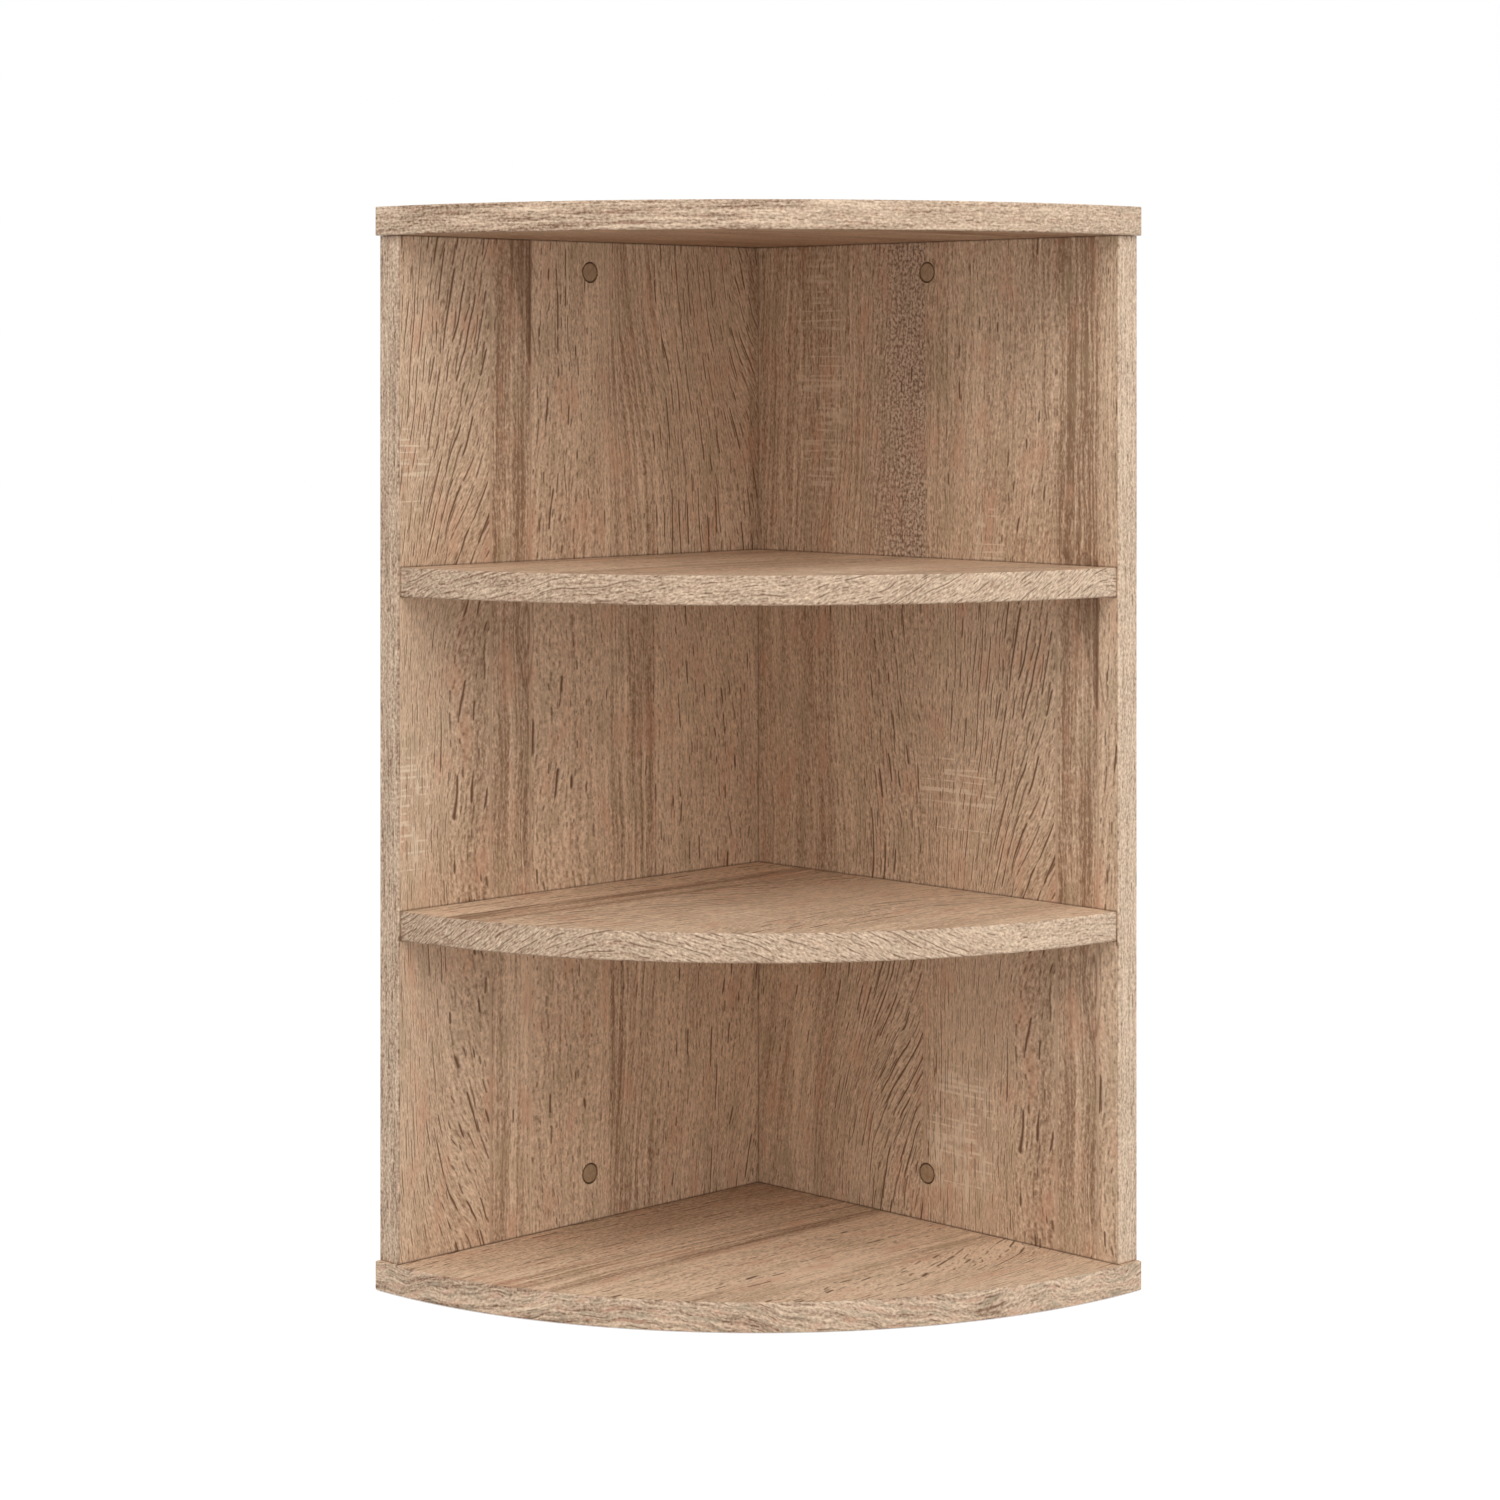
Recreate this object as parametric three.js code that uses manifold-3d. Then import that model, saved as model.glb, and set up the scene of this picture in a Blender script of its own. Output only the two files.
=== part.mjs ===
// A quarter-round corner shelf unit of laminated chipboard, in millimetres, +Z up.
// Two side panels meet at a right angle in the back corner, under a quarter-round top board and on a
// quarter-round bottom board. Two quarter-round shelves sit between them. Every exposed front edge has
// a glued edge band. Long confirmat screws hold the boards together. Thin discs hide the screws in the
// top board, and a plug closes each of the four wall fixing holes in the side panels.
//
// The sizes below are measured from the outer back corner: the right wall runs along +X from it, and
// the left wall along -Y. The whole unit is then moved so that its footprint is centred on the origin.

import * as THREE from 'three';
import { mergeVertices } from 'three/addons/utils/BufferGeometryUtils.js';
import Module from 'manifold-3d';

const wasm = await Module();
wasm.setup();

// Overall sizes
const boardRadius = 300;
const unitHeight = 600;
const boardThickness = 16;

// How far the side panels' fronts stand back from the boards' ends, and the shelves' fronts from the
// side panels' fronts
const panelSetback = 3;
const shelfSetback = 1;

// Height of each shelf's underside above the floor
const lowerShelfHeight = 194.7;
const upperShelfHeight = 384.5;

// Edge bands, and the thin seams that stay between glued and screwed faces
const bandThickness = 1;
const bandEdgeRadius = 0.6;
const glueLine = 0.1;
const jointSeam = 0.2;

// Confirmat screws
const screwLength = 50;
const screwHeadRadius = 5;
const screwHeadHeight = 2.5;
const screwHeadTaper = 1.5;
const screwCollarRadius = 3.5;
const screwCollarLength = 9;
const screwNeckRadius = 2.5;
const screwNeckLength = 1.5;
const screwThreadRadius = 3.5;
const screwTipRadius = 1;
const screwTipLength = 4;
const screwSocketRadius = 2.3;
const screwSocketDepth = 2.4;
const screwHeadSink = 0.3;
const screwClearance = 0.2;
const screwHoleRunout = 2;

// Distances of the screws from the outer corner and from the front, and from the floor and the top
const boardScrewInset = 60;
const shelfScrewInset = 70;
const cornerScrewInset = 84;

// Wall fixing holes and their cover plugs. They stand a little behind the middle of the panels' faces.
const fixingHoleRadius = 3;
const fixingPocketDepth = 6;
const fixingBehindMiddle = 2.5;
const fixingDepthFromTop = 33.8;
const fixingHeightFromFloor = 43.5;
const plugRadius = 6;
const plugDepth = 4.5;
const plugFaceThickness = 1.4;
const plugSkirtThickness = 1.3;
const plugChamfer = 0.3;
const plugRecess = 0.3;
const plugClearance = 0.3;

// Cover discs over the top board's screws
const discRadius = 7;
const discThickness = 0.4;

// Smoothness of round forms: steps in a quarter-round front and in a band's rounded corner, and sides
const arcSteps = 40;
const bandCornerSteps = 2;
const screwSides = 12;
const plugSides = 20;
const hexagonSides = 6;

// One overrun serves every cut that has to pass a face
const overrun = 1;

// Sizes that follow from the ones above
const panelWidth = boardRadius - panelSetback;
const shelfRadius = panelWidth - shelfSetback;
const panelBottom = boardThickness + jointSeam;
const panelTop = unitHeight - boardThickness - jointSeam;
const panelHeight = panelTop - panelBottom;
const panelCoreWidth = panelWidth - bandThickness - glueLine;
const shelfInset = boardThickness + jointSeam;
const panelMiddle = boardThickness / 2;
const fixingDistance = (boardThickness + panelWidth) / 2 - fixingBehindMiddle;

const finishes = {
  laminate: new THREE.MeshStandardMaterial({ color: 0xa98a6e, roughness: 0.55, metalness: 0 }),
  edgeBand: new THREE.MeshStandardMaterial({ color: 0xcdb297, roughness: 0.5, metalness: 0 }),
  plug: new THREE.MeshStandardMaterial({ color: 0x8c7054, roughness: 0.45, metalness: 0 }),
  disc: new THREE.MeshStandardMaterial({ color: 0xb7987b, roughness: 0.5, metalness: 0 }),
  screw: new THREE.MeshStandardMaterial({ color: 0xb9bbbd, roughness: 0.35, metalness: 1 }),
};

const alongX = new THREE.Vector3(1, 0, 0);
const alongLeftWall = new THREE.Vector3(0, -1, 0);
const upward = new THREE.Vector3(0, 0, 1);
const downward = new THREE.Vector3(0, 0, -1);

// Solids: closed meshes to manifolds and back

function solidOf(geometry) {
  const bare = geometry.clone();
  bare.deleteAttribute('normal');
  bare.deleteAttribute('uv');
  const merged = mergeVertices(bare);
  const mesh = new wasm.Mesh({
    numProp: 3,
    vertProperties: Float32Array.from(merged.attributes.position.array),
    triVerts: Uint32Array.from(merged.index.array),
  });
  return new wasm.Manifold(mesh);
}

function geometryOf(solid) {
  const mesh = solid.getMesh();
  const geometry = new THREE.BufferGeometry();
  geometry.setAttribute('position', new THREE.BufferAttribute(mesh.vertProperties, mesh.numProp));
  geometry.setIndex(new THREE.BufferAttribute(mesh.triVerts, 1));
  geometry.computeVertexNormals();
  return geometry;
}

// A box between two corners
function boxBetween(low, high) {
  const size = new THREE.Vector3().subVectors(high, low);
  const middle = new THREE.Vector3().addVectors(low, high).multiplyScalar(0.5);
  const geometry = new THREE.BoxGeometry(size.x, size.y, size.z);
  return geometry.translate(middle.x, middle.y, middle.z);
}

// Turns a form that lies along +Y, with its start at y = 0, to run from a point in a direction
function aim(geometry, point, direction) {
  const turn = new THREE.Quaternion().setFromUnitVectors(new THREE.Vector3(0, 1, 0), direction);
  return geometry.applyQuaternion(turn).translate(point.x, point.y, point.z);
}

// A round rod that starts at a point and runs a length in a direction
function rod(radius, length, sides, point, direction) {
  const geometry = new THREE.CylinderGeometry(radius, radius, length, sides);
  return aim(geometry.translate(0, length / 2, 0), point, direction);
}

// A point that is moved some way in a direction
function movedPoint(point, direction, distance) {
  return point.clone().addScaledVector(direction, distance);
}

// A round hole that starts just outside a face, so that the cut is clean
function holeFrom(radius, depth, sides, point, direction) {
  const start = movedPoint(point, direction, -overrun);
  return solidOf(rod(radius, depth + overrun, sides, start, direction));
}

// The value of three's curveSegments, or of its getPoints, that divides an arc into so many steps
function segmentsFor(steps) {
  return steps / 2;
}

// Boards

// The part of a quarter-round form that lies between the side panels' inner faces
function betweenPanels(solid, inset, reach) {
  const low = new THREE.Vector3(inset, -reach - overrun, -overrun);
  const high = new THREE.Vector3(reach + overrun, -inset, unitHeight + overrun);
  return solid.intersect(solidOf(boxBetween(low, high)));
}

// The chipboard of a quarter-round board, without its edge band
function quarterBoard(radius, bottom, inset) {
  const coreRadius = radius - bandThickness - glueLine;
  const plan = new THREE.Shape();
  plan.moveTo(0, 0);
  plan.lineTo(coreRadius, 0);
  plan.absarc(0, 0, coreRadius, 0, -Math.PI / 2, true);
  plan.lineTo(0, 0);
  const geometry = new THREE.ExtrudeGeometry(plan, {
    depth: boardThickness,
    bevelEnabled: false,
    curveSegments: segmentsFor(arcSteps),
  });
  const solid = solidOf(geometry.translate(0, 0, bottom));
  return inset > 0 ? betweenPanels(solid, inset, radius) : solid;
}

// The section of an edge band: flat at the back, with two rounded front corners.
// It reaches from x = front - bandThickness to x = front, and from y = 0 to the board's thickness.
function bandSection(front) {
  const r = bandEdgeRadius;
  const back = front - bandThickness;
  const section = new THREE.Shape();
  section.moveTo(back, 0);
  section.lineTo(front - r, 0);
  section.absarc(front - r, r, r, -Math.PI / 2, 0, false);
  section.absarc(front - r, boardThickness - r, r, 0, Math.PI / 2, false);
  section.lineTo(back, boardThickness);
  return section;
}

// The band on a quarter-round board's front: a ring, of which one quarter is kept
function arcBand(radius, bottom, inset) {
  const outline = bandSection(radius).getPoints(segmentsFor(bandCornerSteps));
  outline.push(outline[0].clone());
  const ring = new THREE.LatheGeometry(outline, 4 * arcSteps);
  ring.rotateX(Math.PI / 2);
  return betweenPanels(solidOf(ring.translate(0, 0, bottom)), inset, radius);
}

// The band on a side panel's front, standing along the panel's height on the right wall
function panelBand() {
  return new THREE.ExtrudeGeometry(bandSection(panelWidth), {
    depth: panelHeight,
    bevelEnabled: false,
    curveSegments: segmentsFor(bandCornerSteps),
  }).translate(0, 0, panelBottom);
}

// Places of the screws. Each one starts on the outer face of the board that its head sits in (its
// host), and ends in the edge of another board (its anchor).

function boardScrews() {
  const places = [];
  const levels = [
    { name: 'top', host: 'top_board', z: unitHeight, direction: downward },
    { name: 'bottom', host: 'bottom_board', z: 0, direction: upward },
  ];
  const distances = { rear: boardScrewInset, front: panelWidth - boardScrewInset };
  for (const level of levels) {
    for (const [end, distance] of Object.entries(distances)) {
      places.push({
        name: `${level.name}_screw_left_${end}`,
        host: level.host,
        anchor: 'left_side_panel',
        point: new THREE.Vector3(panelMiddle, -distance, level.z),
        direction: level.direction,
      });
      places.push({
        name: `${level.name}_screw_right_${end}`,
        host: level.host,
        anchor: 'right_side_panel',
        point: new THREE.Vector3(distance, -panelMiddle, level.z),
        direction: level.direction,
      });
    }
  }
  return places;
}

function shelfScrews() {
  const places = [];
  const shelves = { lower_shelf: lowerShelfHeight, upper_shelf: upperShelfHeight };
  const distances = { rear: shelfScrewInset, front: panelWidth - shelfScrewInset };
  for (const [shelf, height] of Object.entries(shelves)) {
    const z = height + boardThickness / 2;
    for (const [end, distance] of Object.entries(distances)) {
      places.push({
        name: `${shelf}_screw_left_${end}`,
        host: 'left_side_panel',
        anchor: shelf,
        point: new THREE.Vector3(0, -distance, z),
        direction: alongX,
      });
      places.push({
        name: `${shelf}_screw_right_${end}`,
        host: 'right_side_panel',
        anchor: shelf,
        point: new THREE.Vector3(distance, 0, z),
        direction: alongLeftWall,
      });
    }
  }
  return places;
}

function cornerScrews() {
  const heights = {
    low: cornerScrewInset,
    middle: unitHeight / 2,
    high: unitHeight - cornerScrewInset,
  };
  return Object.entries(heights).map(([level, height]) => ({
    name: `corner_screw_${level}`,
    host: 'left_side_panel',
    anchor: 'right_side_panel',
    point: new THREE.Vector3(0, -panelMiddle, height),
    direction: alongX,
  }));
}

// The hole that a screw needs in its host: a pocket for the head, and a clear hole through the board
function hostHole(place) {
  const headRoom = screwHeadSink + screwHeadHeight + screwHeadTaper + screwClearance;
  const pocket = holeFrom(
    screwHeadRadius + screwClearance,
    headRoom,
    screwSides,
    place.point,
    place.direction,
  );
  const passage = holeFrom(
    screwCollarRadius + screwClearance,
    boardThickness + overrun,
    screwSides,
    place.point,
    place.direction,
  );
  return pocket.add(passage);
}

// The hole that a screw's thread fills in its anchor, from the host's far face on
function anchorHole(place) {
  const mouth = movedPoint(place.point, place.direction, boardThickness);
  const depth = screwHeadSink + screwLength + screwHoleRunout - boardThickness;
  return holeFrom(
    screwThreadRadius + screwClearance,
    depth,
    screwSides,
    mouth,
    place.direction,
  );
}

// A confirmat screw, its head's face at y = 0 and its tip along +Y
function screwGeometry() {
  const collarStart = screwHeadHeight + screwHeadTaper;
  const neckStart = collarStart + screwCollarLength;
  const threadStart = neckStart + screwNeckLength;
  const threadEnd = screwLength - screwTipLength;
  const outline = [
    [0, 0],
    [screwHeadRadius, 0],
    [screwHeadRadius, screwHeadHeight],
    [screwCollarRadius, collarStart],
    [screwCollarRadius, neckStart],
    [screwNeckRadius, neckStart],
    [screwNeckRadius, threadStart],
    [screwThreadRadius, threadStart],
    [screwThreadRadius, threadEnd],
    [screwTipRadius, screwLength],
    [0, screwLength],
  ].map(([radius, along]) => new THREE.Vector2(radius, along));
  const body = solidOf(new THREE.LatheGeometry(outline, screwSides));
  const socket = new THREE.CylinderGeometry(
    screwSocketRadius,
    screwSocketRadius,
    screwSocketDepth + overrun,
    hexagonSides,
  );
  socket.translate(0, (screwSocketDepth - overrun) / 2, 0);
  return geometryOf(body.subtract(solidOf(socket)));
}

// Places of the four wall fixing holes, on the side panels' inner faces
function fixingPlaces() {
  const places = [];
  const heights = { upper: unitHeight - fixingDepthFromTop, lower: fixingHeightFromFloor };
  for (const [level, height] of Object.entries(heights)) {
    places.push({
      name: `cover_plug_left_${level}`,
      host: 'left_side_panel',
      point: new THREE.Vector3(boardThickness, -fixingDistance, height),
      direction: alongX.clone().negate(),
    });
    places.push({
      name: `cover_plug_right_${level}`,
      host: 'right_side_panel',
      point: new THREE.Vector3(fixingDistance, -boardThickness, height),
      direction: alongLeftWall.clone().negate(),
    });
  }
  return places;
}

// A fixing hole: a pocket for a screw head and the plug, and a clear hole through to the wall
function fixingHole(place) {
  const pocket = holeFrom(
    plugRadius + plugClearance,
    fixingPocketDepth,
    plugSides,
    place.point,
    place.direction,
  );
  const passage = holeFrom(
    fixingHoleRadius,
    boardThickness + overrun,
    screwSides,
    place.point,
    place.direction,
  );
  return pocket.add(passage);
}

// A cover plug: a round face with a skirt behind it, which grips the pocket's wall
function plugGeometry() {
  const skirtRadius = plugRadius - plugSkirtThickness;
  const outline = [
    [0, 0],
    [plugRadius - plugChamfer, 0],
    [plugRadius, plugChamfer],
    [plugRadius, plugDepth],
    [skirtRadius, plugDepth],
    [skirtRadius, plugFaceThickness],
    [0, plugFaceThickness],
  ].map(([radius, along]) => new THREE.Vector2(radius, along));
  return new THREE.LatheGeometry(outline, plugSides);
}

// Assembly

const screws = [...boardScrews(), ...shelfScrews(), ...cornerScrews()];
const fixings = fixingPlaces();

// A board with every hole that its screws and fixings need
function drilled(name, solid) {
  let board = solid;
  for (const screw of screws) {
    if (screw.host === name) board = board.subtract(hostHole(screw));
    if (screw.anchor === name) board = board.subtract(anchorHole(screw));
  }
  for (const fixing of fixings) {
    if (fixing.host === name) board = board.subtract(fixingHole(fixing));
  }
  return board;
}

const unit = new THREE.Group();

function addPiece(name, geometry, finish) {
  const mesh = new THREE.Mesh(geometry, finish.clone());
  mesh.name = name;
  unit.add(mesh);
  return mesh;
}

function addBoard(name, solid) {
  addPiece(name, geometryOf(drilled(name, solid)), finishes.laminate);
}

function addSidePanels() {
  const left = boxBetween(
    new THREE.Vector3(0, -panelCoreWidth, panelBottom),
    new THREE.Vector3(boardThickness, 0, panelTop),
  );
  const right = boxBetween(
    new THREE.Vector3(shelfInset, -boardThickness, panelBottom),
    new THREE.Vector3(panelCoreWidth, 0, panelTop),
  );
  addBoard('left_side_panel', solidOf(left));
  addBoard('right_side_panel', solidOf(right));
  const leftBand = addPiece('left_panel_edge_band', panelBand(), finishes.edgeBand);
  leftBand.rotation.z = -Math.PI / 2;
  const rightBand = addPiece('right_panel_edge_band', panelBand(), finishes.edgeBand);
  rightBand.position.y = -boardThickness;
}

function addQuarterBoards() {
  const boards = [
    { name: 'bottom_board', radius: boardRadius, bottom: 0, inset: 0 },
    { name: 'top_board', radius: boardRadius, bottom: unitHeight - boardThickness, inset: 0 },
    { name: 'lower_shelf', radius: shelfRadius, bottom: lowerShelfHeight, inset: shelfInset },
    { name: 'upper_shelf', radius: shelfRadius, bottom: upperShelfHeight, inset: shelfInset },
  ];
  for (const { name, radius, bottom, inset } of boards) {
    addBoard(name, quarterBoard(radius, bottom, inset));
    addPiece(`${name}_edge_band`, geometryOf(arcBand(radius, bottom, inset)), finishes.edgeBand);
  }
}

function addScrews() {
  for (const { name, point, direction } of screws) {
    const seat = movedPoint(point, direction, screwHeadSink);
    addPiece(name, aim(screwGeometry(), seat, direction), finishes.screw);
  }
}

function addPlugs() {
  for (const { name, point, direction } of fixings) {
    const seat = movedPoint(point, direction, plugRecess);
    addPiece(name, aim(plugGeometry(), seat, direction), finishes.plug);
  }
}

function addDiscs() {
  for (const { name, host, point } of screws) {
    if (host === 'top_board') {
      const geometry = rod(discRadius, discThickness, plugSides, point, upward);
      addPiece(name.replace('screw', 'cover_disc'), geometry, finishes.disc);
    }
  }
}

addSidePanels();
addQuarterBoards();
addScrews();
addPlugs();
addDiscs();

unit.position.set(-boardRadius / 2, boardRadius / 2, 0);

export default unit;
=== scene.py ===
# %% [markdown]
# # A quarter-round corner shelf unit in light oak decor
#
# The unit is made of six chipboard boards: two side panels that meet in the back corner, a top
# board, a bottom board and two shelves. The boards are faced with a printed oak decor, and each
# round or straight front has a glued edge band. Long screws hold the boards together.
#
# The sizes come from a packed construction model, which is loaded first and never moved. This
# script dresses it: it gives each board its finish and makes the bands, screws, plugs and discs
# anew with finer shapes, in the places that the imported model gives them.

import functools
import math

import bmesh
import bpy
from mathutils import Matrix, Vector


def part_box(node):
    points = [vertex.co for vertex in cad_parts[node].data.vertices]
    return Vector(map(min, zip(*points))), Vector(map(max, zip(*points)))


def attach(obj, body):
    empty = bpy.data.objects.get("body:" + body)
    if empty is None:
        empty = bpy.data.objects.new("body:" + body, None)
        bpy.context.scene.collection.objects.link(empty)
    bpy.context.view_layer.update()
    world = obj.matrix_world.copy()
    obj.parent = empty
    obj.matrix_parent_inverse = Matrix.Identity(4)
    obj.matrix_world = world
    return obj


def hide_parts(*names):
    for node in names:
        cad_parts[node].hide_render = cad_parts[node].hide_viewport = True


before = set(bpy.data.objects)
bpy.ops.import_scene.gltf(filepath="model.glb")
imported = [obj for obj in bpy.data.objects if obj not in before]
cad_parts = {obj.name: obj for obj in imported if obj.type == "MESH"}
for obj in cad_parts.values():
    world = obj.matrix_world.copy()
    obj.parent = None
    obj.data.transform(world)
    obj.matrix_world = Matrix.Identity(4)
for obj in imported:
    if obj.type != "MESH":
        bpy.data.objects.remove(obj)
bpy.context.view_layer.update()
MM = 0.001

# %% [markdown]
# ## Where things are
#
# The two walls meet in the outer back corner, at the lowest X and the highest Y. Most sizes of the
# unit are easiest to say from there, so it gets a name.

# %% The outer back corner and the radius
corner_x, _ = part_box("top_board")[0].xy
_, corner_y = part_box("top_board")[1].xy
board_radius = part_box("top_board_edge_band")[1].x - corner_x

print("corner:", round(corner_x, 4), round(corner_y, 4), "radius:", round(board_radius, 4))

# %% [markdown]
# ## Camera
#
# In the photograph the upright edges stay upright, so the camera was level and its lens was shifted
# down. A level camera looks along the diagonal of the corner. Its distance, its height and its
# focal length were worked out from the places of the unit's corners in the photograph. The column
# and the row that it looks at give the shift.

# %% Camera
PHOTO_PIXELS = 1500
FOCAL_PIXELS = 3526.0
AXIS_COLUMN = 758.46
HORIZON_ROW = 371.0
CAMERA_DISTANCE = 2.1656
CAMERA_HEIGHT = 0.509
SENSOR_WIDTH = 36.0
DIAGONAL = math.radians(45)
LEVEL = math.radians(90)

camera_data = bpy.data.cameras.new("camera")
camera_data.sensor_width = SENSOR_WIDTH
camera_data.lens = SENSOR_WIDTH * FOCAL_PIXELS / PHOTO_PIXELS
camera_data.shift_x = (PHOTO_PIXELS / 2 - AXIS_COLUMN) / PHOTO_PIXELS
camera_data.shift_y = (HORIZON_ROW - PHOTO_PIXELS / 2) / PHOTO_PIXELS
camera = bpy.data.objects.new("camera", camera_data)
camera.location = (
    corner_x + CAMERA_DISTANCE * math.cos(DIAGONAL),
    corner_y - CAMERA_DISTANCE * math.sin(DIAGONAL),
    CAMERA_HEIGHT,
)
camera.rotation_euler = (LEVEL, 0, DIAGONAL)
bpy.context.scene.collection.objects.link(camera)
bpy.context.scene.camera = camera

print("lens:", round(camera_data.lens, 2), "shift:", round(camera_data.shift_y, 4))

# %% [markdown]
# ## Shader sums
#
# A finish is worked out from many small numbers: how far across the grain a point lies, how dark
# the pores are, and so on. Wiring such sums by hand takes a screen full of Math nodes. This small
# class lets Python's own signs make those nodes, so a finish reads like a formula.

# %% A socket that takes part in sums
class Wire:
    """An output of a node. A sum with it adds a Math node to its finish."""

    def __init__(self, finish, socket):
        self.finish = finish
        self.socket = socket

    def math(self, operation, *terms):
        sockets = dict(enumerate(terms))
        return self.finish.node("ShaderNodeMath", {"operation": operation}, sockets)

    def __add__(self, other):
        return self.math("ADD", self, other)

    def __radd__(self, other):
        return self.math("ADD", other, self)

    def __sub__(self, other):
        return self.math("SUBTRACT", self, other)

    def __rsub__(self, other):
        return self.math("SUBTRACT", other, self)

    def __mul__(self, other):
        return self.math("MULTIPLY", self, other)

    def __rmul__(self, other):
        return self.math("MULTIPLY", other, self)

    def __truediv__(self, other):
        return self.math("DIVIDE", self, other)

    def __gt__(self, other):
        return self.math("GREATER_THAN", self, other)

    def __lt__(self, other):
        return self.math("LESS_THAN", self, other)

    def __abs__(self):
        return self.math("ABSOLUTE", self)


# %% A finish and its nodes
class Finish:
    """The nodes of a material or of the world, with one method that adds any node to them."""

    def __init__(self, owner):
        owner.use_nodes = True
        self.owner = owner
        self.tree = owner.node_tree
        self.tree.nodes.clear()

    def node(self, kind, settings=None, sockets=None, output=0):
        made = self.tree.nodes.new(kind)
        for setting, value in (settings or {}).items():
            if setting == "stops":
                set_stops(made.color_ramp, value)
            elif setting == "interpolation" and kind == "ShaderNodeValToRGB":
                made.color_ramp.interpolation = value
            else:
                setattr(made, setting, value)
        for place, value in (sockets or {}).items():
            socket = find_socket(made.inputs, place)
            if isinstance(value, Wire):
                self.tree.links.new(value.socket, socket)
            else:
                socket.default_value = value
        return Wire(self, find_socket(made.outputs, output))

    def surface(self, shader, end="ShaderNodeOutputMaterial"):
        self.node(end, sockets={"Surface": shader}, output=None)
        return self.owner


def new_finish(name):
    return Finish(bpy.data.materials.new(name))


def find_socket(sockets, place):
    """A socket by its number, its identifier or its name."""
    if place is None:
        return None
    if isinstance(place, int):
        return sockets[place]
    return next(s for s in sockets if place in (s.identifier, s.name))


def set_stops(ramp, stops):
    """Gives a colour ramp these stops, each a place and a colour of three or four numbers."""
    while len(ramp.elements) > 1:
        ramp.elements.remove(ramp.elements[-1])
    for number, (place, colour) in enumerate(stops):
        element = ramp.elements[0] if number == 0 else ramp.elements.new(place)
        element.position = place
        element.color = (*colour, 1.0)[:4]


print("shader sums are ready")

# %% [markdown]
# A few helpers are used by every finish: a soft step between two values, the mix of two colours,
# and a colour written the way a paint program shows it.

# %% Helpers for finishes
def srgb(red, green, blue):
    """A colour in 0 to 255, as the linear numbers that a shader takes."""
    def linear(value):
        share = value / 255
        return share / 12.92 if share <= 0.04045 else ((share + 0.055) / 1.055) ** 2.4
    return (linear(red), linear(green), linear(blue), 1.0)


def step_between(value, start, end):
    """0 before start and 1 past end, with a soft step between them."""
    settings = {"interpolation_type": "SMOOTHSTEP"}
    sockets = {"Value": value, "From Min": start, "From Max": end}
    return value.finish.node("ShaderNodeMapRange", settings, sockets)


def mixed(factor, first, second, how="MIX"):
    """The mix of two colours. A factor of 0 gives the first one."""
    settings = {"data_type": "RGBA", "blend_type": how}
    sockets = {"Factor_Float": factor, "A_Color": first, "B_Color": second}
    return factor.finish.node("ShaderNodeMix", settings, sockets, "Result_Color")


def largest(first, second):
    return first.math("MAXIMUM", first, second)


def smallest(first, second):
    return first.math("MINIMUM", first, second)


def joined(finish, x, y, z=0.0):
    return finish.node("ShaderNodeCombineXYZ", None, {"X": x, "Y": y, "Z": z})


def split(finish, vector):
    """The three parts of a vector."""
    separate = finish.node("ShaderNodeSeparateXYZ", None, {"Vector": vector})
    outputs = separate.socket.node.outputs
    return [Wire(finish, output) for output in outputs]


def place_in_mm(finish):
    """A point's place on the unit, in millimetres."""
    position = finish.node("ShaderNodeTexCoord", output="Object")
    settings = {"operation": "SCALE"}
    scaled = finish.node("ShaderNodeVectorMath", settings, {"Vector": position, "Scale": 1 / MM})
    return split(finish, scaled)


print("white is", srgb(255, 255, 255)[:3])

# %% [markdown]
# ## Grain
#
# All marks of a wood print are longer along the grain than across it. So a noise is looked up in a
# plane whose two directions are scaled unlike each other: the sizes given here say how wide and how
# long a typical mark is, in millimetres.

# %% Marks along the grain
def grain_noise(across, along, width, length, seed, detail=2.0):
    """Soft light and dark marks of about this width and length, around 0.5."""
    finish = across.finish
    vector = joined(finish, across / width + seed, along / length + seed)
    settings = {"noise_dimensions": "2D"}
    sockets = {"Vector": vector, "Scale": 1.0, "Detail": detail, "Roughness": 0.55}
    return finish.node("ShaderNodeTexNoise", settings, sockets, "Fac")


print("grain marks are ready")

# %% [markdown]
# Oak's pores don't lie at random. They follow one another in lines along the grain, like the dashes
# of a broken line. So the wood is cut into narrow lanes. Each lane holds one line that wanders a
# little inside it, and a noise along the lane says where a pore opens and where it closes. A pale
# edge on one side of each pore is a painted highlight: the light that the side of a pore pressed
# into the surface would catch.

# %% Lines of pores
LANE_SPREAD = 7.31
PORE_SPREAD = 3.77
PORE_EDGE = 0.75
PORE_WANDER = 0.9
PORE_HIGHLIGHT_SHIFT = 1.7
PORES_FEW = 0.68
PORES_MANY = 0.43
PORE_OPENING = 0.1


def pore_lines(grain, along, spacing, length, width, amount, seed):
    """Pores in lines this far apart, each about this long and wide, in millimetres. An amount of 0
    gives nearly none and 1 gives many. Gives the pores and the painted highlights on one side of them."""
    lane = grain / spacing + seed
    line = lane.math("FLOOR", lane)
    wander = (grain_noise(line * LANE_SPREAD, along, 1.0, length * 4, seed, 1.0) - 0.5) * PORE_WANDER
    inside = (lane - line - 0.5 - wander) * spacing
    chance = grain_noise(line * PORE_SPREAD, along, 1.0, length, seed + 2.3, 1.0)
    least = PORES_FEW - amount * (PORES_FEW - PORES_MANY)
    reach = step_between(chance, least, least + PORE_OPENING) * width
    pores = step_between(reach - abs(inside), 0.0, PORE_EDGE)
    # The pale edge on one side of the pore is a painted highlight.
    edges = step_between(reach - abs(inside - width * PORE_HIGHLIGHT_SHIFT), 0.0, PORE_EDGE)
    return pores, edges


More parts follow.
